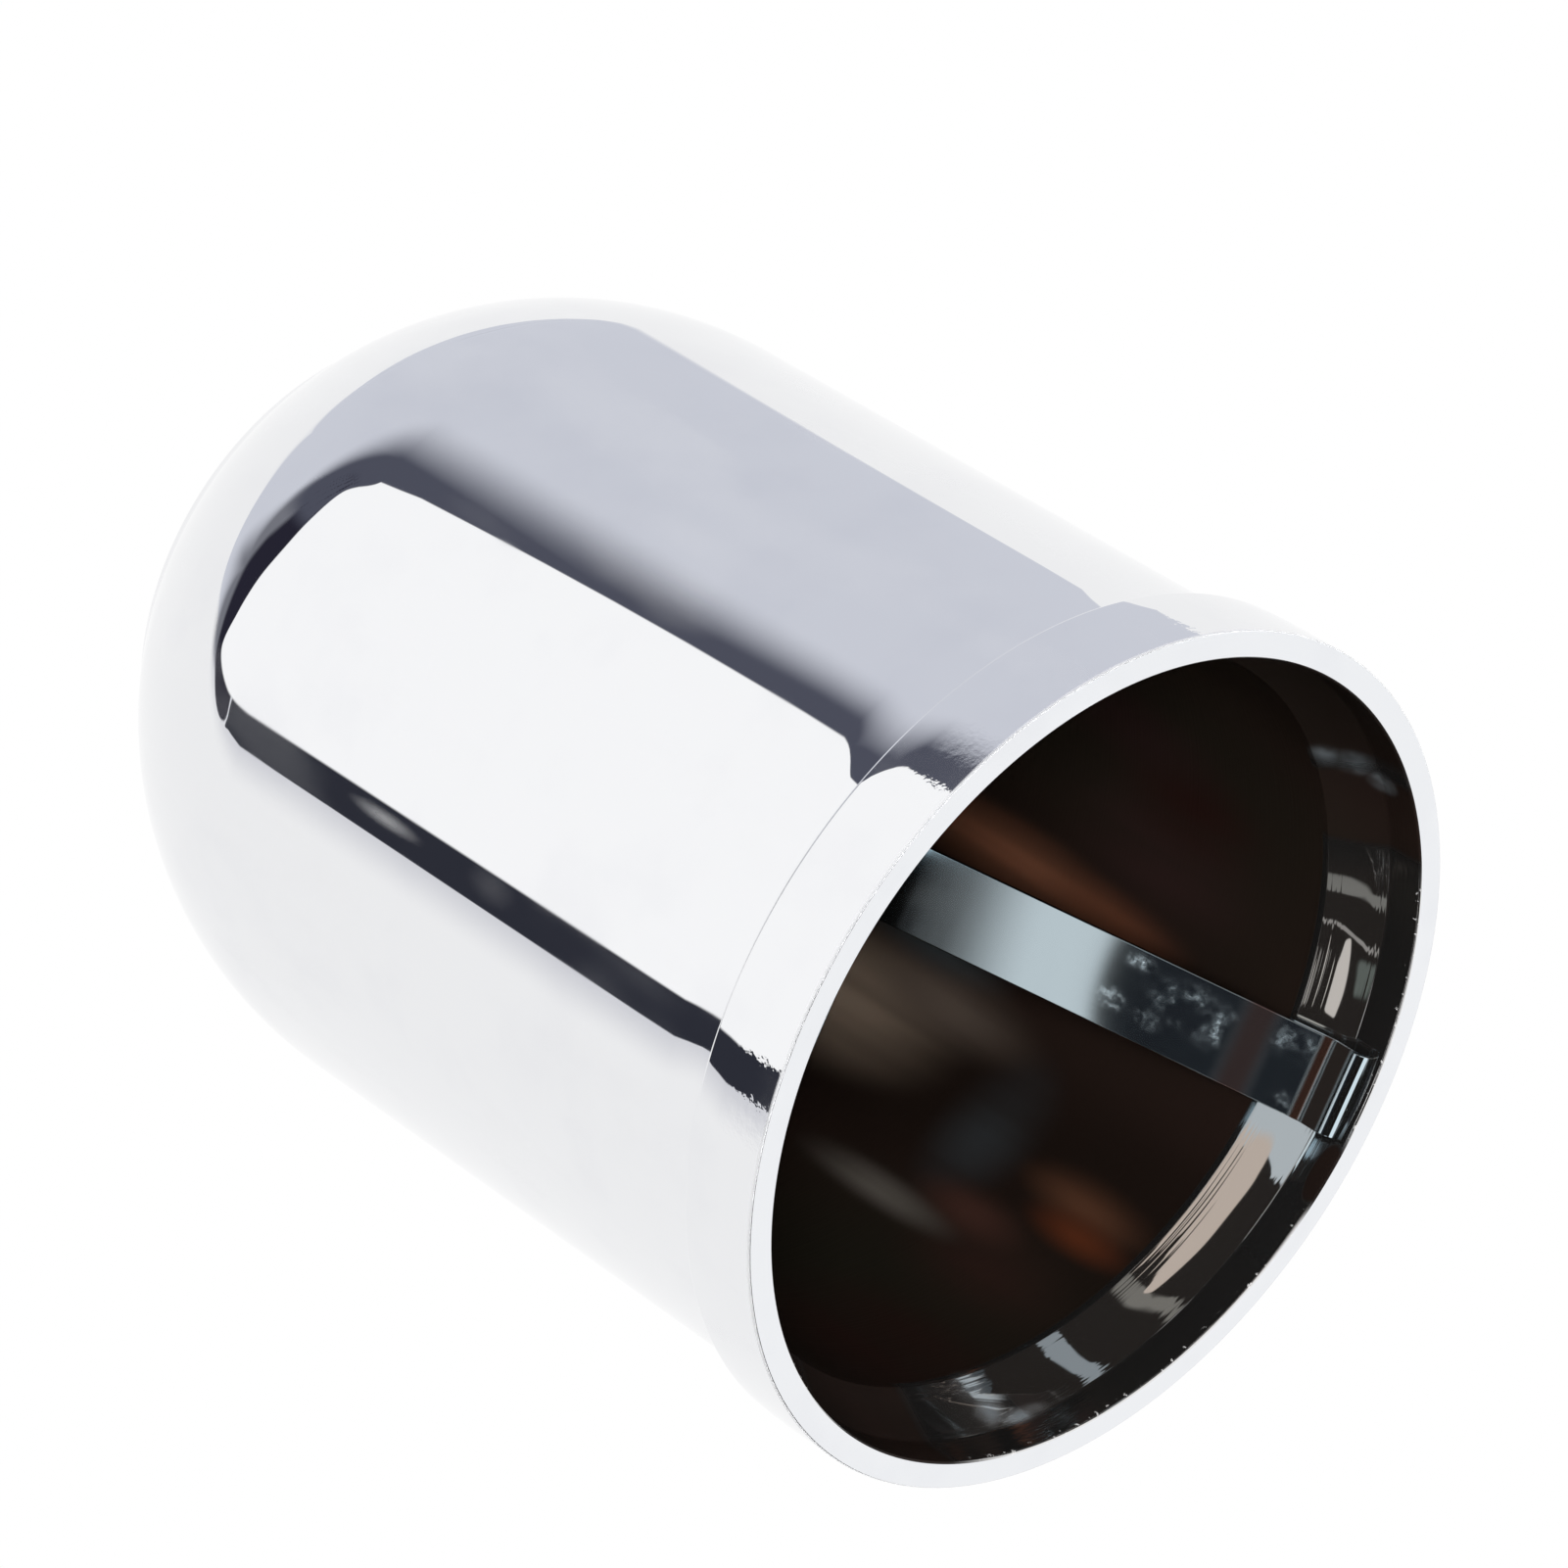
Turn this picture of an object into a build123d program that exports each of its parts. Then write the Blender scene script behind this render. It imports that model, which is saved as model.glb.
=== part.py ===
from build123d import *

import os
from math import acos, atan2, degrees, hypot, sqrt, tan

# Tow ball cover: a chrome plated cup with a domed end, and the spring strip inside it that grips the ball.
# The cup stands on its mouth. The origin is the centre of the mouth, +Z points to the dome, and the legs of
# the spring strip lie along X. All sizes are in millimetres.

# Cup: barrel and dome
body_radius = 31.5
wall = 2.8
barrel_height = 59.0

# Cup: rim band round the mouth
rim_step = 1.5
rim_height = 6.8
rim_wall = 2.15
rim_round = 0.4
rim_edge = 0.25
mouth_edge = 0.2

# Cup: recess inside the mouth, and the cone that narrows it to the bore
recess_depth = 2.9
cone_length = 4.2

# Cup: raised crown of the dome, and the low button in its middle
crown_ring_radius = 22.4
crown_step = 0.25
button_radius = 10.0
button_step = 0.25
step_bevel = 0.6
gate_radius = 0.8
gate_depth = 0.2

# Spring strip: section and clearance
strip_width = 6.6
strip_thickness = 0.5
seat_clearance = 0.05

# Spring strip: hooked feet in the recess
foot_height = 0.9
foot_length = 1.2
upright_length = 2.55
foot_bend = 0.45
heel_bend = 1.2

# Spring strip: bowed legs and the rounded crown under the dome
waist_radius = 11.2
waist_height = 38.0
bow_radius = 30.0
strip_crown_radius = 8.0

# Sizes that follow from the ones above
bore_radius = body_radius - wall
rim_radius = body_radius + rim_step
recess_radius = rim_radius - rim_wall
cone_top = recess_depth + cone_length
crown_dome = body_radius + crown_step
button_dome = crown_dome + button_step


def on_dome(radius, across):
    """Point of a dome of this radius at a distance across from the axis, as (x, z)."""
    return (across, barrel_height + sqrt(radius**2 - across**2))


def dome_arc(radius, inner, outer):
    """Arc of a dome of this radius between two distances from the axis."""
    start_angle = degrees(acos(outer / radius))
    end_angle = degrees(acos(inner / radius))
    return CenterArc((0, barrel_height), radius, start_angle, end_angle - start_angle)


def corner(sketch, across, height):
    """The corner of the sketch that stands at this distance from the axis and this height."""
    return sketch.vertices().sort_by_distance((across, height, 0))[0]


# The cup is a turned profile: outside from the mouth to the apex, then back down the inside
with BuildPart() as cover_shell:
    with BuildSketch(Plane.XZ) as shell_profile:
        with BuildLine() as shell_outline:
            # rim band and barrel
            Polyline(
                (recess_radius, 0),
                (rim_radius, 0),
                (rim_radius, rim_height),
                (body_radius, rim_height),
                (body_radius, barrel_height),
            )
            # dome, raised crown and button, each a step of its own
            dome_arc(body_radius, crown_ring_radius, body_radius)
            Line(
                on_dome(body_radius, crown_ring_radius),
                on_dome(crown_dome, crown_ring_radius - step_bevel),
            )
            dome_arc(crown_dome, button_radius, crown_ring_radius - step_bevel)
            Line(
                on_dome(crown_dome, button_radius),
                on_dome(button_dome, button_radius - step_bevel),
            )
            dome_arc(button_dome, gate_radius, button_radius - step_bevel)
            # dimple left by the moulding gate
            gate_floor = barrel_height + button_dome - gate_depth
            Line(on_dome(button_dome, gate_radius), (0, gate_floor))
            # inside: dome, bore, cone and recess
            Line((0, gate_floor), (0, barrel_height + bore_radius))
            dome_arc(bore_radius, 0, bore_radius)
            Polyline(
                (bore_radius, barrel_height),
                (bore_radius, cone_top),
                (recess_radius, recess_depth),
                (recess_radius, 0),
            )
        make_face()
        fillet(corner(shell_profile, rim_radius, rim_height), rim_round)
        chamfer(corner(shell_profile, rim_radius, 0), rim_edge)
        chamfer(corner(shell_profile, recess_radius, 0), mouth_edge)
    revolve(axis=Axis.Z)

# The strip's centre line: foot, upright, bowed leg, crown and back down the other side
half_thickness = strip_thickness / 2
half_width = strip_width / 2
foot_tip = sqrt(recess_radius**2 - half_width**2) - seat_clearance
foot_level = foot_height + half_thickness
upright = foot_tip - foot_length
heel_level = foot_level + upright_length
crown_bend = strip_crown_radius - half_thickness
crown_seat = barrel_height + sqrt(bore_radius**2 - half_width**2)
crown_top = crown_seat - seat_clearance - half_thickness
crown_centre = crown_top - crown_bend

# The upper leg is the tangent from the waist to the crown's arc, drawn on to where the two legs would meet
waist_rise = crown_centre - waist_height
waist_reach = hypot(waist_radius, waist_rise)
upper_lean = acos(crown_bend / waist_reach) - atan2(waist_rise, waist_radius)
legs_meet = waist_height + waist_radius / tan(upper_lean)

right_side = [
    (waist_radius, waist_height),
    (upright, heel_level),
    (upright, foot_level),
    (foot_tip, foot_level),
]
left_side = [(-across, height) for across, height in reversed(right_side)]
side_bends = [bow_radius, heel_bend, foot_bend + half_thickness]

with BuildPart() as spring_clip:
    with BuildSketch(Plane.XZ) as strip_profile:
        with BuildLine() as strip_line:
            FilletPolyline(
                *left_side,
                (0, legs_meet),
                *right_side,
                radius=[*reversed(side_bends), crown_bend, *side_bends],
            )
        trace(line_width=strip_thickness)
    extrude(amount=half_width, both=True)

os.makedirs("parts", exist_ok=True)

cover_shell.part.label = "cover_shell"
export_step(cover_shell.part, "parts/cover_shell.step")

spring_clip.part.label = "spring_clip"
export_step(spring_clip.part, "parts/spring_clip.step")
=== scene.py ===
from math import acos, atan2, cos, hypot, pi, radians, sin, sqrt, tan

import bpy
from mathutils import Matrix, Vector


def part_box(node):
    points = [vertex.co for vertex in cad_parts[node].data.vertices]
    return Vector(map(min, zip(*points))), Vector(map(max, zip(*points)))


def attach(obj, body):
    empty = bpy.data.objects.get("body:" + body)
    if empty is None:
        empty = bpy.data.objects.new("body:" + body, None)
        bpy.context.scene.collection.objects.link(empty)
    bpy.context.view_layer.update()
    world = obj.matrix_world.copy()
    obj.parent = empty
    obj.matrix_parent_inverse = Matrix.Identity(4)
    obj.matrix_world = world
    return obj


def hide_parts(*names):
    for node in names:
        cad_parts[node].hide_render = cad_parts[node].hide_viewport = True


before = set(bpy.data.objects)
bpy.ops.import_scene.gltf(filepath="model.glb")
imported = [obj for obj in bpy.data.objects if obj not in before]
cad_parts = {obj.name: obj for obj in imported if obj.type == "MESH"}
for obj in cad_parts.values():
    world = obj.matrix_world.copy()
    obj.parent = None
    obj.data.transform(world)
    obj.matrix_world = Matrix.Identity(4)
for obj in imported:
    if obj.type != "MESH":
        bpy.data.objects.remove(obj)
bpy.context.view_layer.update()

MM = 0.001

# Sizes of the cup, as the solid has them
rim_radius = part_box("cover_shell")[1].x
total_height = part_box("cover_shell")[1].z
body_radius = 31.5 * MM
wall = 2.8 * MM
barrel_height = 59.0 * MM
rim_height = 6.8 * MM
rim_wall = 2.15 * MM
recess_depth = 2.9 * MM
cone_length = 4.2 * MM
crown_ring_radius = 22.4 * MM
crown_step = 0.25 * MM
button_radius = 10.0 * MM
button_step = 0.25 * MM
step_bevel = 0.6 * MM
gate_radius = 0.8 * MM
gate_depth = 0.2 * MM
bore_radius = body_radius - wall
recess_radius = rim_radius - rim_wall
cone_top = recess_depth + cone_length

# Soft edges that the plating gives the cup
rim_edge = 0.18 * MM
mouth_edge = 0.2 * MM
band_lean = 0.09 * MM
band_reach = 1.5 * MM
band_sweep = 30.0 * MM
root_lean = 0.2 * MM
root_reach = 3.2 * MM
root_sweep = 45.0 * MM
shoulder_round = 0.3 * MM
cone_sag = 0.1 * MM
cone_sweep = 22.0 * MM
cone_foot_round = 0.8 * MM
cone_head_round = 0.15 * MM

# Sizes of the spring strip, as the solid has them, and the round of its corners
strip_width = 6.6 * MM
strip_thickness = 0.5 * MM
seat_clearance = 0.05 * MM
foot_height = 0.9 * MM
foot_length = 1.2 * MM
upright_length = 2.55 * MM
foot_bend = 0.45 * MM
heel_bend = 1.2 * MM
waist_radius = 11.2 * MM
waist_height = 38.0 * MM
bow_radius = 30.0 * MM
strip_crown_radius = 8.0 * MM
strip_corner = 0.1 * MM

# Fineness of the meshes
turns = 320
arc_step = radians(2.5)
run_step = 4.0 * MM
corner_steps = 4
bevel_marks = (0.15, 0.85)
axis_reach = 0.001 * MM

# Camera: the photograph's viewing angle, from below the mouth and rolled
camera_target = Vector((1.13, -4.61, 37.72)) * MM
camera_distance = 496.48 * MM
camera_azimuth = radians(-76.20)
camera_elevation = radians(-38.74)
camera_roll = radians(57.99)
camera_lens = 156.8
sensor_width = 36.0
near_clip = 0.01


# Outlines

def rounded(before, corner, after, radius):
    """Points of the arc of this radius that rounds a corner between two straight runs."""
    back = (before - corner).normalized()
    on = (after - corner).normalized()
    half_angle = back.angle(on) / 2
    middle = corner + (back + on).normalized() * (radius / sin(half_angle))
    start = corner + back * (radius / tan(half_angle)) - middle
    turn = pi - 2 * half_angle
    side = 1 if back.cross(on) < 0 else -1
    count = max(2, round(turn / arc_step))
    points = []
    for i in range(count + 1):
        spin = Matrix.Rotation(side * turn * i / count, 2)
        points.append(middle + spin @ start)
    return points


def outline(corners, rounds):
    """An open line through the corners, each rounded by its radius, with long runs divided."""
    corners = [Vector(corner) for corner in corners]
    path = [corners[0]]
    for i in range(1, len(corners) - 1):
        if rounds[i]:
            path += rounded(corners[i - 1], corners[i], corners[i + 1], rounds[i])
        else:
            path.append(corners[i])
    path.append(corners[-1])
    divided = [path[0]]
    for start, end in zip(path, path[1:]):
        pieces = max(1, round((end - start).length / run_step))
        for i in range(1, pieces + 1):
            divided.append(start.lerp(end, i / pieces))
    return divided


def dome_arc(radius, outer, inner):
    """Points of a dome of this radius from a distance outer from the axis up to a distance inner."""
    first = acos(outer / radius)
    last = acos(inner / radius)
    count = max(2, round((last - first) / arc_step))
    angles = [first + (last - first) * i / count for i in range(count + 1)]
    return [Vector((radius * cos(angle), barrel_height + radius * sin(angle))) for angle in angles]


def outside_profile():
    """Outside of the cup from the inner edge of the rim's end face to the apex."""
    lower = outline(
        [
            (recess_radius + mouth_edge, 0),
            (rim_radius, 0),
            (rim_radius, rim_height - band_reach),
            (rim_radius - band_lean, rim_height),
            (body_radius + root_lean, rim_height),
            (body_radius, rim_height + root_reach),
            (body_radius, barrel_height),
        ],
        [0, rim_edge, band_sweep, shoulder_round, shoulder_round, root_sweep, 0],
    )
    crown_dome = body_radius + crown_step
    button_dome = crown_dome + button_step
    crown = dome_arc(crown_dome, crown_ring_radius - step_bevel, button_radius)
    button = dome_arc(button_dome, button_radius - step_bevel, gate_radius)
    dome = dome_arc(body_radius, body_radius, crown_ring_radius)[1:]
    for arc in (crown, button):
        # points on the bevel keep the shading of the step to the bevel itself
        dome += [dome[-1].lerp(arc[0], share) for share in bevel_marks]
        dome += arc
    dome.append(Vector((0, barrel_height + button_dome - gate_depth)))
    return lower + dome


def inside_profile():
    """Inside of the cup from the apex down to the inner edge of the rim's end face."""
    dome = list(reversed(dome_arc(bore_radius, bore_radius, 0)))
    cone_middle = (
        (bore_radius + recess_radius) / 2 + cone_sag,
        (recess_depth + cone_top) / 2 + cone_sag,
    )
    lower = outline(
        [
            (bore_radius, barrel_height),
            (bore_radius, cone_top),
            cone_middle,
            (recess_radius, recess_depth),
            (recess_radius, mouth_edge),
            (recess_radius + mouth_edge, 0),
        ],
        [0, cone_head_round, cone_sweep, cone_foot_round, 0, 0],
    )
    return dome + lower[1:]


def strip_line():
    """The strip's centre line from one foot over the crown to the other foot."""
    half_thickness = strip_thickness / 2
    half_width = strip_width / 2
    foot_tip = sqrt(recess_radius**2 - half_width**2) - seat_clearance
    foot_level = foot_height + half_thickness
    upright = foot_tip - foot_length
    heel_level = foot_level + upright_length
    crown_bend = strip_crown_radius - half_thickness
    crown_seat = barrel_height + sqrt(bore_radius**2 - half_width**2)
    crown_centre = crown_seat - seat_clearance - half_thickness - crown_bend
    # the upper leg is the tangent from the waist to the crown's arc
    waist_rise = crown_centre - waist_height
    waist_reach = hypot(waist_radius, waist_rise)
    upper_lean = acos(crown_bend / waist_reach) - atan2(waist_rise, waist_radius)
    legs_meet = waist_height + waist_radius / tan(upper_lean)
    side = [
        (waist_radius, waist_height),
        (upright, heel_level),
        (upright, foot_level),
        (foot_tip, foot_level),
    ]
    other_side = [(-across, height) for across, height in reversed(side)]
    bends = [bow_radius, heel_bend, foot_bend + half_thickness, 0]
    return outline([*other_side, (0, legs_meet), *side], [*reversed(bends), crown_bend, *bends])


# Meshes

def line_normals(points, closed):
    """Normals to the right of a line's direction, each shared by its two runs by their length."""
    count = len(points)
    normals = []
    for i in range(count):
        total = Vector((0, 0))
        for j in (i - 1, i):
            if closed or 0 <= j < count - 1:
                run = points[(j + 1) % count] - points[j % count]
                total += Vector((run.y, -run.x))
        normals.append(total.normalized())
    return normals


def new_object(name, vertices, faces, materials, face_materials=None, normals=None):
    """A mesh object in the scene, shaded smooth by its own normals if it has them."""
    mesh = bpy.data.meshes.new(name)
    mesh.from_pydata(vertices, [], faces)
    for material in materials:
        mesh.materials.append(material)
    if face_materials:
        mesh.polygons.foreach_set("material_index", face_materials)
    if normals:
        mesh.polygons.foreach_set("use_smooth", [True] * len(mesh.polygons))
        mesh.normals_split_custom_set_from_vertices(normals)
    mesh.update()
    piece = bpy.data.objects.new(name, mesh)
    bpy.context.scene.collection.objects.link(piece)
    return piece


def lathe(name, outside, inside, materials):
    """A turned solid: the outside profile takes the first material and the inside one the second."""
    profile = outside + inside[:-1]
    leans = line_normals(profile, closed=True)
    vertices = []
    normals = []
    rings = []
    for point, lean in zip(profile, leans):
        start = len(vertices)
        if point.x < axis_reach:
            rings.append([start] * turns)
            vertices.append((0, 0, point.y))
            normals.append((0, 0, 1 if lean.y > 0 else -1))
            continue
        rings.append(range(start, start + turns))
        for i in range(turns):
            angle = 2 * pi * i / turns
            vertices.append((point.x * cos(angle), point.x * sin(angle), point.y))
            normals.append((lean.x * cos(angle), lean.x * sin(angle), lean.y))
    faces = []
    face_materials = []
    for j, ring in enumerate(rings):
        above = rings[(j + 1) % len(rings)]
        for i in range(turns):
            k = (i + 1) % turns
            face = list(dict.fromkeys([ring[i], ring[k], above[k], above[i]]))
            if len(face) > 2:
                faces.append(face)
                face_materials.append(0 if j < len(outside) - 1 else 1)
    return new_object(name, vertices, faces, materials, face_materials, normals)


def strip(name, line, material):
    """The strip's rounded section carried along its centre line, which lies in the plane y = 0."""
    half_thickness = strip_thickness / 2
    half_width = strip_width / 2
    section = []
    for across, along, first in ((1, 1, 0), (-1, 1, 90), (-1, -1, 180), (1, -1, 270)):
        centre = Vector((across * (half_thickness - strip_corner), along * (half_width - strip_corner)))
        for i in range(corner_steps + 1):
            angle = radians(first + 90 * i / corner_steps)
            section.append(centre + strip_corner * Vector((cos(angle), sin(angle))))
    leans = line_normals(section, closed=True)
    sides = line_normals(line, closed=False)
    vertices = []
    normals = []
    for point, side in zip(line, sides):
        for corner, lean in zip(section, leans):
            vertices.append((point.x + side.x * corner.x, corner.y, point.y + side.y * corner.x))
            normals.append((side.x * lean.x, lean.y, side.y * lean.x))
    faces = []
    count = len(section)
    for a in range(0, len(vertices) - count, count):
        b = a + count
        for i in range(count):
            k = (i + 1) % count
            faces.append([a + i, a + k, b + k, b + i])
    # the cut ends have corners of their own, so that they are shaded flat
    for first, side, outward in ((0, sides[0], 1), (len(vertices) - count, sides[-1], -1)):
        end = list(range(len(vertices), len(vertices) + count))
        faces.append(end[::-outward])
        vertices += vertices[first:first + count]
        normals += [(outward * side.y, 0, -outward * side.x)] * count
    return new_object(name, vertices, faces, [material], normals=normals)


# Shader nodes

def new_tree(owner):
    """The emptied node tree of a material or a world."""
    owner.use_nodes = True
    owner.node_tree.nodes.clear()
    return owner.node_tree


def feed(tree, socket, value):
    """Sets a socket to a value, or links it to an output of another node."""
    if isinstance(value, bpy.types.NodeSocket):
        tree.links.new(value, socket)
    else:
        socket.default_value = value


def node(tree, kind, inputs=None, **settings):
    """A node with its settings, and its inputs by name or number."""
    made = tree.nodes.new(kind)
    for key, value in settings.items():
        setattr(made, key, value)
    for key, value in (inputs or {}).items():
        feed(tree, made.inputs[key], value)
    return made


def span(tree, value, low, high, to_low=0.0, to_high=1.0):
    """A value carried smoothly from one range to another."""
    inputs = {0: value, 1: low, 2: high, 3: to_low, 4: to_high}
    return node(tree, "ShaderNodeMapRange", inputs, interpolation_type="SMOOTHSTEP").outputs[0]


def maths(tree, operation, a, b):
    """Two values joined by this operation."""
    return node(tree, "ShaderNodeMath", {0: a, 1: b}, operation=operation).outputs[0]


def largest(tree, values):
    """The largest of several values, none of them below 0."""
    most = 0.0
    for value in values:
        most = maths(tree, "MAXIMUM", most, value)
    return most


def between(tree, value, low, low_full, high_full, high):
    """1 from low_full to high_full, falling smoothly to 0 at low and at high."""
    return maths(tree, "MULTIPLY", span(tree, value, high, high_full), span(tree, value, low, low_full))


def blend(tree, factor, a, b):
    """A colour between two others."""
    # inputs 6 and 7 and output 2 are the node's colours
    return node(tree, "ShaderNodeMix", {0: factor, 6: a, 7: b}, data_type="RGBA").outputs[2]


def noise(tree, place, per_metre, detail):
    """Noise with about this many features to the metre along each axis."""
    stretched = node(tree, "ShaderNodeMapping", {"Vector": place, "Scale": per_metre})
    inputs = {"Vector": stretched.outputs[0], "Scale": 1.0, "Detail": detail}
    return node(tree, "ShaderNodeTexNoise", inputs).outputs[0]


def pattern(tree, place, per_metre, detail, low, high, to_low=0.0, to_high=1.0):
    """Patches of noise: its values from low to high, spread over another range."""
    return span(tree, noise(tree, place, per_metre, detail), low, high, to_low, to_high)


def bump(tree, height, depth, below=None):
    """The normal over a height from 0 to 1 that stands for this depth."""
    made = node(tree, "ShaderNodeBump", {"Strength": 1.0, "Distance": depth, "Height": height})
    if below:
        feed(tree, made.inputs["Normal"], below)
    return made.outputs[0]


def glow(tree, place, centre, reach):
    """1 at a centre, falling to 0 at this reach from it along each axis, in millimetres."""
    scale = [1 / (r * MM) for r in reach]
    shift = [-c / r for c, r in zip(centre, reach)]
    local = node(tree, "ShaderNodeMapping", {"Vector": place, "Location": shift, "Scale": scale})
    away = node(tree, "ShaderNodeVectorMath", {0: local.outputs[0]}, operation="LENGTH")
    return span(tree, away.outputs["Value"], 1.0, 0.0)


def finish_material(name, surface):
    """A material whose surface is built by a function of its tree, place in the object and height."""
    material = bpy.data.materials.new(name)
    tree = new_tree(material)
    place = node(tree, "ShaderNodeTexCoord").outputs["Object"]
    height = node(tree, "ShaderNodeSeparateXYZ", {"Vector": place}).outputs["Z"]
    shader = node(tree, "ShaderNodeBsdfPrincipled", surface(tree, place, height))
    node(tree, "ShaderNodeOutputMaterial", {"Surface": shader.outputs[0]})
    return material


# Outside of the cup: chrome from clean to smudged, faint waves, and small teeth that grow toward the mouth
clean_chrome = (0.825, 0.83, 0.845, 1)
smudged_chrome = (0.80, 0.805, 0.825, 1)
chrome_roughness = (0.015, 0.04)
wave_depth = 0.006 * MM
tooth_depth = 0.009 * MM
teeth_heights = (5.0 * MM, 2.0 * MM)

# Films that take away part of the mirror: a thin one in patches, a worn one round the end face's outer edge
# between these heights, and painted glints on the barrel, diffuse patches that the lamps light as
# highlights, as (centre, reach, weight), in millimetres
patchy_film = 0.06
worn_film = 0.6
worn_heights = (0.01 * MM, 0.04 * MM, 0.16 * MM, 0.30 * MM)
painted_barrel_glints = (
    ((-31.1, 4.8, 43.0), (5, 0.75, 4.6), 0.32),
    ((-31.1, 4.6, 31.4), (5, 1.6, 3.0), 0.05),
)


def outside_plating(tree, place, height):
    """Bright chrome with a faint waviness, rougher at the mouth end of the rim band, and painted glints on
    the barrel.
    """
    waves = noise(tree, place, per_metre=(70, 70, 35), detail=1.0)
    teeth = noise(tree, place, per_metre=(1500, 1500, 1800), detail=2.0)
    rough_edge = maths(tree, "MULTIPLY", teeth, span(tree, height, *teeth_heights))
    smudge = pattern(tree, place, per_metre=(120, 120, 120), detail=3.0, low=0.45, high=0.75)
    films = [
        pattern(tree, place, per_metre=(130, 130, 45), detail=2.0, low=0.5, high=0.68, to_high=patchy_film),
        maths(tree, "MULTIPLY", between(tree, height, *worn_heights), worn_film),
    ]
    # painted glints: diffuse patches on the barrel that the lamps light as highlights
    for centre, reach, weight in painted_barrel_glints:
        films.append(maths(tree, "MULTIPLY", glow(tree, place, centre, reach), weight))
    return {
        "Base Color": blend(tree, smudge, clean_chrome, smudged_chrome),
        "Metallic": maths(tree, "SUBTRACT", 1.0, largest(tree, films)),
        "Roughness": span(tree, smudge, 0, 1, *chrome_roughness),
        "Normal": bump(tree, rough_edge, tooth_depth, bump(tree, waves, wave_depth)),
    }


# Inside of the cup: the plating thins out from one height to another. It reaches deeper toward -X, so each
# pair after the first holds the value there and the value elsewhere, and the first says where they meet
deep_side = (-25 * MM, -18 * MM)
thin_starts = (8.0 * MM, 6.9 * MM)
thin_ends = (16.0 * MM, 7.7 * MM)
thin_most = (0.79, 1.0)
bare_core = 0.7

# Its colours, from whole plating to bare moulding
clean_plate = (0.76, 0.75, 0.74, 1)
pale_marked_plate = (0.68, 0.76, 0.82, 1)
dark_brown = (0.0080, 0.0050, 0.0038, 1)
red_brown = (0.0135, 0.0076, 0.0060, 1)
olive_brown = (0.0100, 0.0086, 0.0060, 1)
pale_mark_grey = (0.090, 0.102, 0.109, 1)

# Its gloss: what whole plating mirrors, what of that is lost where it is bare, and what haze scatters
plate_mirror = 0.76
mirror_lost = 0.752
scattered = 0.008
pale_mark_haze = 0.16
speck_haze = 0.5
speck_heights = (0.6 * MM, 0.3 * MM)
bare_from = 0.9
plate_roughness = 0.03
bare_roughness = 0.4
bare_specular = 0.1

# Its turning rings, above and below the middle of the cone
ring_depth = 0.012 * MM
rings_above = (5.4 * MM, 6.6 * MM)
rings_below = (4.2 * MM, 3.2 * MM)

# Patches inside the cup as (centre, reach), in millimetres: where the plating is bare; painted reflections,
# warm and pale glows laid on the moulding, with their colour there; and where it carries pale bluish marks
bare_patches = (
    ((9.0, -28.5, 4), (25, 25, 60)),
    ((21.5, -20.7, 4), (9, 9, 60)),
    ((-4.0, 30.0, 4), (16, 16, 60)),
    ((30.3, 6.0, 0.6), (3.5, 6, 2.4)),
    ((-29.0, 10.6, 0), (6, 12, 2.6)),
)
painted_wall_reflections = (
    ((27.5, -8.5, 23), (9, 8, 13), (0.0200, 0.0105, 0.0095)),
    ((25.3, -13.5, 21), (6, 6, 10), (0.0140, 0.0056, 0.0045)),
    ((23.0, -17.0, 27), (5, 5, 12), (0.0150, 0.0080, 0.0072)),
    ((28.6, -2.2, 37), (6, 4.0, 17), (0.130, 0.052, 0.028)),
    ((28.6, -2.4, 26), (6, 3.0, 10), (0.075, 0.028, 0.015)),
    ((25.6, 12.9, 45), (7, 7.5, 15), (0.150, 0.112, 0.084)),
    ((27.0, 9.5, 36), (6, 4, 12), (0.060, 0.045, 0.036)),
    ((28.0, 6.3, 40), (5, 2.5, 10), (0.035, 0.042, 0.046)),
    ((24.1, 15.5, 25.2), (7, 9, 5.5), (0.0200, 0.0215, 0.0230)),
    ((6.0, 28.0, 14), (12, 6, 12), (0.0135, 0.0058, 0.0047)),
    ((17.4, 22.8, 16), (6, 6, 10), (0.018, 0.009, 0.007)),
    ((20.3, 20.2, 21.0), (3, 3, 7), (0.036, 0.016, 0.012)),
    ((23.9, 15.9, 14), (2.8, 2.8, 8), (0.066, 0.028, 0.015)),
    ((22.4, 17.9, 12.6), (2.3, 2.3, 6.5), (0.062, 0.017, 0.007)),
    ((18.4, 22.1, 28.4), (2.2, 2.2, 10), (0.075, 0.066, 0.057)),
)
pale_marks = (
    ((17.3, -23.3, 6.2), (1.6, 1.6, 1.7)),
    ((18.3, -23.7, 4.3), (1.8, 1.7, 2.3)),
    ((20.0, -23.2, 2.7), (1.6, 1.4, 1.6)),
    ((8.8, 27.9, 6.3), (1.8, 1.8, 1.8)),
    ((9.6, 28.7, 4.3), (2.0, 1.8, 1.8)),
    ((12.0, 28.3, 3.2), (3.6, 2.0, 0.9)),
)


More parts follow.
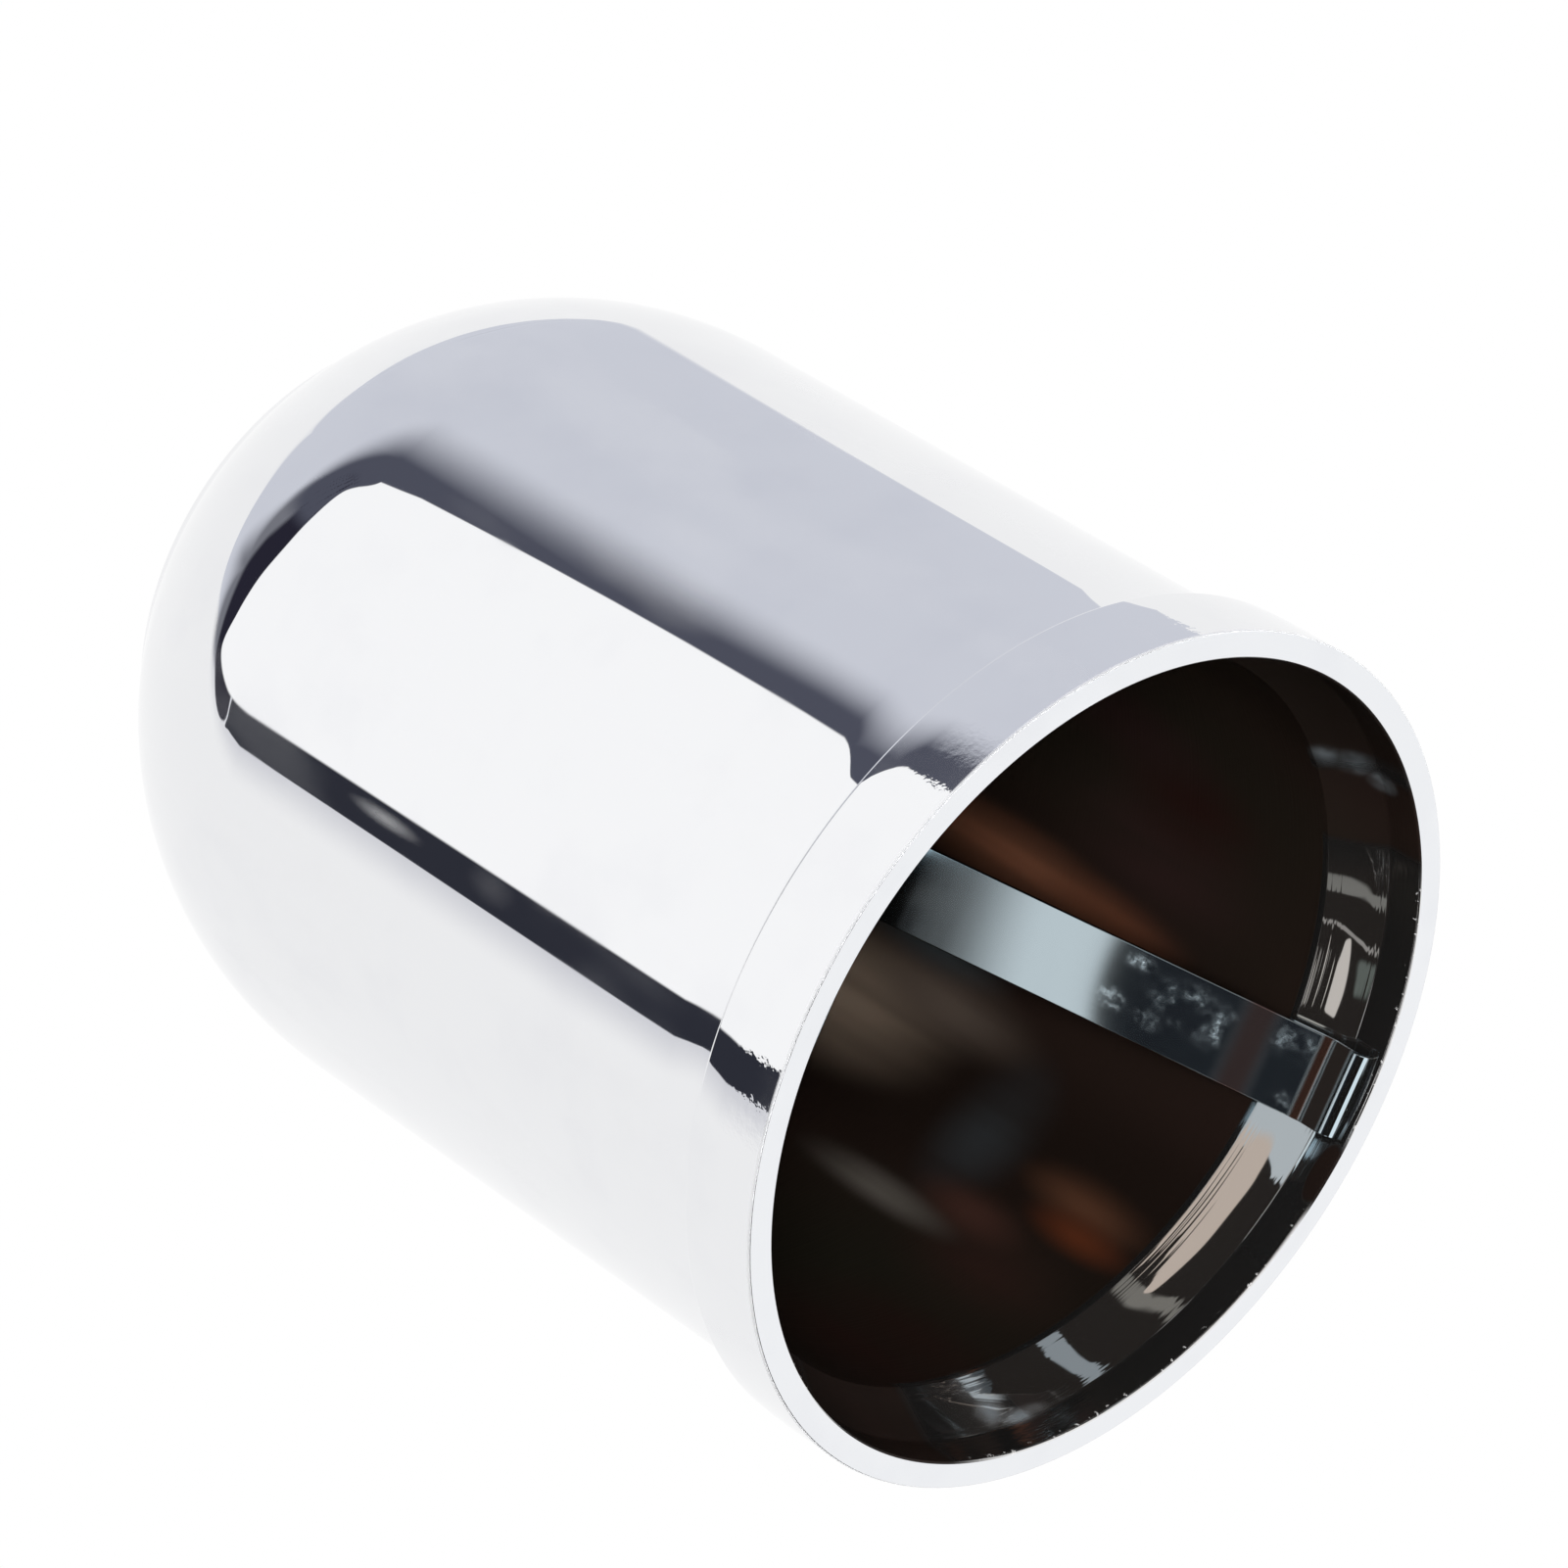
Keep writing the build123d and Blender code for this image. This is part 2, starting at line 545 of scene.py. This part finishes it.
def inside_plating(tree, place, height):
    """Hazy chrome, bright near the mouth, that thins out over bare brown moulding deeper in the cup, with
    painted reflections on it.
    """
    along = node(tree, "ShaderNodeSeparateXYZ", {"Vector": place}).outputs["X"]
    starts = span(tree, along, *deep_side, *thin_starts)
    ends = span(tree, along, *deep_side, *thin_ends)
    most = span(tree, along, *deep_side, *thin_most)
    bare = [span(tree, height, starts, ends, 0.0, most)]
    for centre, reach in bare_patches:
        bare.append(span(tree, glow(tree, place, centre, reach), 0.0, bare_core))
    thin = largest(tree, bare)

    stains = pattern(tree, place, per_metre=(60, 60, 25), detail=2.0, low=0.35, high=0.7)
    tints = pattern(tree, place, per_metre=(35, 35, 18), detail=1.0, low=0.45, high=0.8)
    streaks = pattern(tree, place, per_metre=(260, 260, 16), detail=2.0, low=0.3, high=0.6, to_low=0.5)
    brown = blend(tree, stains, dark_brown, red_brown)
    brown = blend(tree, tints, brown, olive_brown)
    # painted reflections: warm and pale glows laid on the bare moulding in streaks
    for centre, reach, colour in painted_wall_reflections:
        seen = maths(tree, "MULTIPLY", glow(tree, place, centre, reach), streaks)
        brown = blend(tree, seen, brown, (*colour, 1))

    # pale bluish marks on the cone band: a ragged tint and haze laid over the plating and the moulding
    # there
    ragged = pattern(tree, place, per_metre=(450, 450, 450), detail=2.0, low=0.35, high=0.6, to_low=0.3)
    pale_mark = largest(tree, [glow(tree, place, centre, reach) for centre, reach in pale_marks])
    pale_mark = maths(tree, "MULTIPLY", pale_mark, ragged)
    brown = blend(tree, pale_mark, brown, pale_mark_grey)
    plated = blend(tree, pale_mark, clean_plate, pale_marked_plate)
    specks = pattern(tree, place, per_metre=(2600, 2600, 2600), detail=1.0, low=0.66, high=0.70)
    specks = maths(tree, "MULTIPLY", specks, span(tree, height, *speck_heights))

    # the haze scatters the same light all the way up, while the mirror under it grows weaker
    mirror = maths(tree, "SUBTRACT", plate_mirror, maths(tree, "MULTIPLY", thin, mirror_lost))
    haze = maths(tree, "DIVIDE", scattered, mirror)
    haze = maths(tree, "ADD", haze, maths(tree, "MULTIPLY", pale_mark, pale_mark_haze))
    haze = maths(tree, "ADD", haze, maths(tree, "MULTIPLY", specks, speck_haze))

    rings = noise(tree, place, per_metre=(40, 40, 4500), detail=1.0)
    turned = largest(tree, [span(tree, height, *rings_above), span(tree, height, *rings_below)])
    return {
        "Base Color": blend(tree, thin, plated, brown),
        "Metallic": maths(tree, "SUBTRACT", 1.0, haze),
        "Roughness": span(tree, thin, bare_from, 1.0, plate_roughness, bare_roughness),
        "Specular IOR Level": bare_specular,
        "Normal": bump(tree, maths(tree, "MULTIPLY", rings, turned), ring_depth),
    }


# Spring strip: steel with fine rolling lines
clean_steel = (0.60, 0.71, 0.765, 1)
steel_roughness = (0.08, 0.3)
rolling_depth = 0.0006 * MM

# Brown bands across its legs as (heights from start to end, colour, share of the mirror taken away):
# painted reflections on the heel bend and on the upright below it, then a pale brown band higher up; and
# dusty patches on one leg as (centre, reach), in millimetres
brown_and_reflection_bands = (
    ((3.5, 3.8, 4.2, 4.6), (0.06, 0.03, 0.022), 0.35),
    ((1.7, 2.1, 3.3, 3.6), (0.034, 0.027, 0.024), 0.5),
    ((6.8, 8.2, 9.0, 10.5), (0.30, 0.21, 0.20), 0.06),
)
dust_film = 0.2
dust_patches = (
    ((24.3, -0.9, 13.4), (5, 2.3, 4.0)),
    ((25.4, -0.4, 11.2), (5, 2.3, 3.2)),
    ((28.2, -1.9, 5.9), (5, 1.8, 2.6)),
    ((29.0, 2.8, 4.9), (4, 1.5, 2.2)),
    ((21.8, 1.0, 18.1), (4, 1.2, 1.8)),
    ((23.1, 1.4, 15.5), (4, 1.2, 1.6)),
    ((22.3, -2.3, 17.1), (4, 1.0, 1.6)),
)


def strip_steel(tree, place, height):
    """Bright rolled strip with fine rolling lines, pale dusty blotches, painted brown reflections at its
    heels and a pale brown band.
    """
    lines = noise(tree, place, per_metre=(150, 2200, 50), detail=2.0)
    patches = pattern(tree, place, per_metre=(520, 520, 520), detail=4.0, low=0.38, high=0.62)
    grains = pattern(tree, place, per_metre=(2200, 2200, 2200), detail=3.0, low=0.35, high=0.68, to_low=0.2)
    dust = largest(tree, [glow(tree, place, centre, reach) for centre, reach in dust_patches])
    blotch = maths(tree, "MULTIPLY", maths(tree, "MULTIPLY", patches, grains), dust)
    steel = clean_steel
    films = [maths(tree, "MULTIPLY", blotch, dust_film)]
    # the two lower bands are painted brown reflections on the heel bend and on the upright below it
    for heights, colour, weight in brown_and_reflection_bands:
        band_mask = between(tree, height, *[level * MM for level in heights])
        steel = blend(tree, band_mask, steel, (*colour, 1))
        films.append(maths(tree, "MULTIPLY", band_mask, weight))
    return {
        "Base Color": steel,
        "Metallic": maths(tree, "SUBTRACT", 1.0, largest(tree, films)),
        "Roughness": span(tree, blotch, 0, 1, *steel_roughness),
        "Normal": bump(tree, lines, rolling_depth),
    }


# Studio cards, which show only in mirrors

stage_centre = Vector((0, 0, total_height / 2))
card_steps = 8
card_rings = 40
dark_strip = (0.03, 0.03, 0.04)
white_wall = (0.9, 0.9, 0.92)


def card_material(name, colour):
    """A glow that fades out where the card's own fade attribute falls to 0."""
    material = bpy.data.materials.new(name)
    tree = new_tree(material)
    fade = node(tree, "ShaderNodeAttribute", attribute_name="fade")
    clear = node(tree, "ShaderNodeBsdfTransparent")
    light = node(tree, "ShaderNodeEmission", {"Color": (*colour, 1)})
    seen = span(tree, fade.outputs["Fac"], 0, 1)
    mix = node(tree, "ShaderNodeMixShader", {0: seen, 1: clear.outputs[0], 2: light.outputs[0]})
    node(tree, "ShaderNodeOutputMaterial", {"Surface": mix.outputs[0]})
    return material


def toward(azimuth, elevation):
    """Unit direction of an azimuth, counted from +X to +Y, and an elevation, in degrees."""
    spin = radians(azimuth)
    rise = radians(elevation)
    return Vector((cos(spin) * cos(rise), sin(spin) * cos(rise), sin(rise)))


def smooth_loop(points, steps):
    """A closed smooth line through the points, with this many steps from one to the next."""
    count = len(points)
    slopes = []
    for i in range(count):
        a, b, c = (points[(i + k) % count] for k in (-1, 0, 1))
        slopes.append((c - a).normalized() * min((b - a).length, (c - b).length))
    line = []
    for i in range(count):
        k = (i + 1) % count
        for j in range(steps):
            t = j / steps
            line.append(
                points[i] * (1 + 2 * t) * (1 - t) ** 2
                + slopes[i] * t * (1 - t) ** 2
                + points[k] * (3 - 2 * t) * t * t
                - slopes[k] * (1 - t) * t * t
            )
    return line


def card(name, colour, corners, soft=None, distance=None, lift=None):
    """A card on a sphere of this distance round the object, or flat on the floor at this lift above it.

    Each corner is (azimuth, elevation), in degrees. At its edge the card fades out over soft degrees, or
    over the third value of a corner that has one.
    """
    corners = [(*corner, soft)[:3] for corner in corners]
    edge = smooth_loop([Vector(corner[:2]) for corner in corners], card_steps)
    rim = [toward(azimuth, elevation) for azimuth, elevation in edge]
    softness = []
    for corner, after in zip(corners, corners[1:] + corners[:1]):
        for step in range(card_steps):
            softness.append(radians(corner[2] + (after[2] - corner[2]) * step / card_steps))
    middle = sum(rim, Vector()).normalized()
    directions = [middle]
    fades = [1.0]
    for ring in range(1, card_rings + 1):
        share = ring / card_rings
        for direction, fade_angle in zip(rim, softness):
            left = direction.angle(middle) * (1 - share)
            directions.append(middle.slerp(direction, share))
            fades.append(min(1, left / fade_angle))
    faces = []
    count = len(edge)
    for i in range(count):
        k = (i + 1) % count
        faces.append([0, 1 + i, 1 + k])
        for ring in range(card_rings - 1):
            inner = 1 + ring * count
            outer = inner + count
            faces.append([inner + i, outer + i, outer + k, inner + k])
    places = []
    for direction in directions:
        away = distance or (lift - stage_centre.z) / direction.z
        places.append(stage_centre + direction * away)
    piece = new_object(name, places, faces, [card_material(name, colour)])
    fade = piece.data.attributes.new("fade", "FLOAT", "POINT")
    fade.data.foreach_set("value", fades)
    piece.visible_camera = False
    piece.visible_diffuse = False
    piece.visible_shadow = False
    piece.visible_transmission = False


def cards_above():
    """Above the floor: the bright window, the dark frame round it and the grey screen behind."""
    card("softbox", distance=2.4, colour=(1.1, 1.1, 1.1), soft=0.4, corners=[
        (230, 5), (230, 20), (230, 38), (222, 44), (217, 51), (205, 55), (193, 57.5), (180, 60), (165, 61),
        (151, 60.5), (146.8, 52), (150.3, 38), (150.3, 20), (150.3, 5),
    ])
    card("soft_flag", distance=2.5, colour=(0.085, 0.090, 0.122), corners=[
        (249, 12, 14.5), (249, 38, 14.5), (246.5, 50, 15), (239, 58, 15), (222, 66, 11), (203, 66, 6),
        (200, 38, 1), (215, 12, 1), (230, 8, 1),
    ])
    card("frame_halo", distance=2.55, colour=(0.20, 0.205, 0.235), corners=[
        (222, 62, 6), (205, 73, 9), (190, 77, 9), (175, 77, 9), (160, 73, 8), (148, 68, 6), (143, 60, 3),
        (150, 50, 1), (180, 50, 1), (215, 50, 3),
    ])
    card("flag", distance=2.5, colour=(0.022, 0.021, 0.035), corners=[
        (226, 51, 8), (221, 57, 6), (205, 63, 3), (195, 66.5, 2), (180, 68.5, 2), (165, 67, 2),
        (152, 64, 2), (144, 60, 1.5), (138.5, 50.8, 0.4), (150, 50.4, 0.4), (165, 46, 1), (190, 43, 1),
        (215, 45, 3),
    ])
    card("lower_flag", distance=2.5, colour=(0.029, 0.031, 0.043), corners=[
        (140.2, 8, 0.5), (140.2, 22, 0.5), (140.2, 38, 0.5), (139.6, 48, 0.4), (139.0, 49.4, 0.3),
        (142, 49.4, 0.3), (152, 49.1, 0.3), (160, 38, 1), (160, 8, 1),
    ])
    card("screen", distance=2.6, colour=(0.685, 0.705, 0.775), corners=[
        (314, 5, 1), (314, 20, 1), (314, 38, 1), (319, 45, 3), (304, 57, 4), (293, 70, 5), (272, 78, 6),
        (240, 81, 7), (200, 80, 7), (170, 76, 7), (155, 71, 7), (150, 60, 3), (150, 20, 3), (150, 5, 3),
    ])
    card("shade", distance=2.7, colour=(0.72, 0.725, 0.765), corners=[
        (166, 12, 1), (166, 38, 1), (166, 62, 1), (148, 66, 3), (134, 56, 9), (128, 38, 12), (134, 18, 9),
        (148, 10, 3),
    ])


def cards_on_floor():
    """Flat on the floor, seen by the outside from above: two dark strips and a grey field between them."""
    card("floor_grey", lift=0.2 * MM, colour=(0.42, 0.43, 0.47), soft=4, corners=[
        (314, -4), (314, -12), (314, -30), (314, -48), (280, -48), (240, -48), (240, -30), (240, -12),
        (240, -4), (258, -4), (277, -4), (296, -4),
    ])
    card("floor_strip", lift=0.4 * MM, colour=dark_strip, corners=[
        (246, -4, 3), (246, -12, 4), (246, -30, 4), (246, -48, 3), (230, -48, 0.5), (230, -30, 0.5),
        (230, -12, 0.5), (230, -4, 0.5),
    ])
    card("narrow_floor_strip", lift=0.4 * MM, colour=dark_strip, soft=0.5, corners=[
        (150.3, -4), (150.3, -12), (150.3, -30), (150.3, -48), (140.7, -48), (140.7, -30), (140.7, -12),
        (140.7, -4),
    ])


def cards_below():
    """Below the floor, seen by the inside and the end face: a pale table and spots in a dark room."""
    card("table", distance=2.4, colour=(1.03, 1.04, 1.05), soft=2, corners=[
        (-52, -6), (-5, -6), (40, -8), (45, -35), (60, -60), (70, -78), (-5, -87), (-85, -80), (-80, -60),
        (-58, -45), (-52, -30),
    ])
    card("low_wall", distance=2.6, colour=white_wall, soft=3, corners=[
        (172, -45), (220, -45), (260, -45), (290, -45), (290, -65), (280, -82), (200, -84), (168, -76),
        (168, -62),
    ])
    card("low_side_wall", distance=2.6, colour=white_wall, soft=3, corners=[
        (100, -45), (130, -45), (158, -45), (150, -57), (139, -66), (100, -69),
    ])
    card("dim_spot", distance=2.45, colour=(0.014, 0.015, 0.018), soft=2, corners=[
        (158, -8), (174, -8), (174, -32), (158, -32),
    ])
    card("heel_spot", distance=2.42, colour=(0.85, 0.85, 0.85), soft=0.5, corners=[
        (160, -5), (173, -5), (173, -15), (160, -15),
    ])
    card("spot_by_strip", distance=2.4, colour=(0.50, 0.56, 0.60), soft=1, corners=[
        (174, -31), (184, -33), (193, -31), (192, -21), (197, -14), (195, -9), (187, -8), (181, -12),
        (174, -13),
    ])
    card("long_spot", distance=2.38, colour=(0.58, 0.50, 0.44), soft=0.5, corners=[
        (186, -21, 4), (198, -19.5), (208, -19.5), (219, -19), (229, -19), (238, -19), (240, -21),
        (229, -25), (219, -27), (208, -28.5), (198, -29.5), (187, -29, 4),
    ])
    card("soft_spot", distance=2.4, colour=(0.19, 0.185, 0.17), soft=3, corners=[
        (240, -26), (247, -24), (245, -17), (237, -8), (232, -9), (237, -18),
    ])
    card("pale_spot", distance=2.4, colour=(0.26, 0.30, 0.33), soft=1, corners=[
        (270, -22), (265, -20), (262, -10), (257.5, -5, 1.5), (261, -3, 1.5), (267, -7), (271, -15),
        (272.5, -19),
    ])
    card("curved_spot", distance=2.4, colour=(0.055, 0.066, 0.075), soft=0.7, corners=[
        (296, -11), (299, -6), (297, -1), (288, -1), (287, -3), (289.5, -7.5, 1.5), (288.5, -13, 1.5),
    ])
    card("grey_spot", distance=2.4, colour=(0.185, 0.185, 0.175), soft=2, corners=[
        (113, -19), (115, -9), (118, -6), (120, -1), (124, -3), (122, -7), (120, -12), (118, -19),
    ])
    card("thin_spot", distance=2.42, colour=(0.30, 0.29, 0.28), soft=0.3, corners=[
        (126, -20), (130, -13), (134, -6.5), (134.7, -7.5), (130.8, -14), (126.7, -21),
    ])
    card("white_spot", distance=2.4, colour=(0.62, 0.59, 0.56), soft=0.4, corners=[
        (131, -14.7), (138, -14.8), (145, -15.4), (152, -17.0), (152.5, -17.6), (151.5, -20.8),
        (150.5, -21.3), (144, -20.6), (138, -19.2), (131.5, -16.6),
    ])
    card("deep_spot", distance=2.4, colour=(0.24, 0.23, 0.22), soft=0.5, corners=[
        (134, -22.5), (142, -24), (150, -26), (151, -28.5), (142, -26.5), (135, -24.5),
    ])
    card("green_spot", distance=2.4, colour=(0.11, 0.13, 0.12), soft=2, corners=[
        (136, -12.6), (137, -7), (144.5, -7.5), (146, -12.6),
    ])


# Stage, light and camera

floor_reach = 3.0
floor_sides = 96
floor_fade = (0.25, 0.8)
floor_colour = (0.86, 0.86, 0.86, 1)
white = (1, 1, 1, 1)
room_colour = (0.008, 0.0055, 0.004, 1)
room_top = -0.04
soft_strength = 0.7


def floor():
    """A pale floor, open under the mouth and seen only from above, that fades to white far out."""
    material = bpy.data.materials.new("floor")
    tree = new_tree(material)
    place = node(tree, "ShaderNodeNewGeometry")
    reach = node(tree, "ShaderNodeVectorMath", {0: place.outputs["Position"]}, operation="LENGTH")
    far = span(tree, reach.outputs["Value"], *floor_fade)
    path = node(tree, "ShaderNodeLightPath")
    seen = maths(tree, "MAXIMUM", path.outputs["Is Camera Ray"], path.outputs["Is Glossy Ray"])
    matt = node(tree, "ShaderNodeBsdfDiffuse", {"Color": floor_colour})
    bright = node(tree, "ShaderNodeEmission", {"Color": white})
    clear = node(tree, "ShaderNodeBsdfTransparent")
    mixed = maths(tree, "MULTIPLY", far, seen)
    top = node(tree, "ShaderNodeMixShader", {0: mixed, 1: matt.outputs[0], 2: bright.outputs[0]})
    under = place.outputs["Backfacing"]
    both = node(tree, "ShaderNodeMixShader", {0: under, 1: top.outputs[0], 2: clear.outputs[0]})
    node(tree, "ShaderNodeOutputMaterial", {"Surface": both.outputs[0]})
    vertices = []
    faces = []
    for across in (rim_radius, floor_reach):
        for i in range(floor_sides):
            angle = 2 * pi * i / floor_sides
            vertices.append((across * cos(angle), across * sin(angle), 0))
    for i in range(floor_sides):
        k = (i + 1) % floor_sides
        faces.append([i, floor_sides + i, floor_sides + k, k])
    new_object("floor", vertices, faces, [material])


def surroundings():
    """White for the camera and for mirrors above the floor, a dark room below, and soft light all round."""
    studio = bpy.data.worlds.new("studio")
    bpy.context.scene.world = studio
    tree = new_tree(studio)
    path = node(tree, "ShaderNodeLightPath")
    place = node(tree, "ShaderNodeTexCoord").outputs["Generated"]
    height = node(tree, "ShaderNodeSeparateXYZ", {"Vector": place}).outputs["Z"]
    below = maths(tree, "LESS_THAN", height, room_top)
    mirrors = maths(tree, "MAXIMUM", path.outputs["Is Glossy Ray"], path.outputs["Is Transmission Ray"])
    shade = blend(tree, maths(tree, "MULTIPLY", below, mirrors), white, room_colour)
    seen = maths(tree, "MAXIMUM", path.outputs["Is Camera Ray"], mirrors)
    strength = span(tree, seen, 0, 1, soft_strength, 1.0)
    light = node(tree, "ShaderNodeBackground", {"Color": shade, "Strength": strength})
    node(tree, "ShaderNodeOutputWorld", {"Surface": light.outputs[0]})


def soft_light(name, place, size, energy):
    """A round soft light that looks at the object and isn't seen itself."""
    lamp = bpy.data.lights.new(name, "AREA")
    lamp.shape = "DISK"
    lamp.size = size
    lamp.energy = energy
    light = bpy.data.objects.new(name, lamp)
    light.location = place
    light.rotation_euler = (stage_centre - light.location).to_track_quat("-Z", "Y").to_euler()
    light.visible_camera = False
    light.visible_glossy = False
    bpy.context.scene.collection.objects.link(light)


def camera():
    """The camera at the photograph's viewing angle, with its roll."""
    ahead = Vector((
        -sin(camera_azimuth) * cos(camera_elevation),
        cos(camera_azimuth) * cos(camera_elevation),
        -sin(camera_elevation),
    ))
    level_right = ahead.cross(Vector((0, 0, 1))).normalized()
    level_up = level_right.cross(ahead)
    up = level_up * cos(camera_roll) + level_right * sin(camera_roll)
    turn = Matrix((ahead.cross(up), up, -ahead)).transposed()
    data = bpy.data.cameras.new("camera")
    data.lens = camera_lens
    data.sensor_width = sensor_width
    data.clip_start = near_clip
    eye = bpy.data.objects.new("camera", data)
    eye.matrix_world = Matrix.Translation(camera_target - ahead * camera_distance) @ turn.to_4x4()
    bpy.context.scene.collection.objects.link(eye)
    bpy.context.scene.camera = eye


bpy.context.scene.view_settings.view_transform = "Standard"
surroundings()
floor()
soft_light("key", place=(-0.35, -0.45, 1.0), size=0.7, energy=8.0)
soft_light("fill", place=(-0.47, -0.12, -0.38), size=0.2, energy=4.0)
cards_above()
cards_on_floor()
cards_below()
camera()

plating = [
    finish_material("chrome_plate", outside_plating),
    finish_material("chrome_plate_inside", inside_plating),
]
cup = lathe("plated_cup", outside_profile(), inside_profile(), plating)
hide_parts("cover_shell")
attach(cup, "root")

clip = strip("spring_strip", strip_line(), finish_material("spring_steel", strip_steel))
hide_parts("spring_clip")
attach(clip, "root")
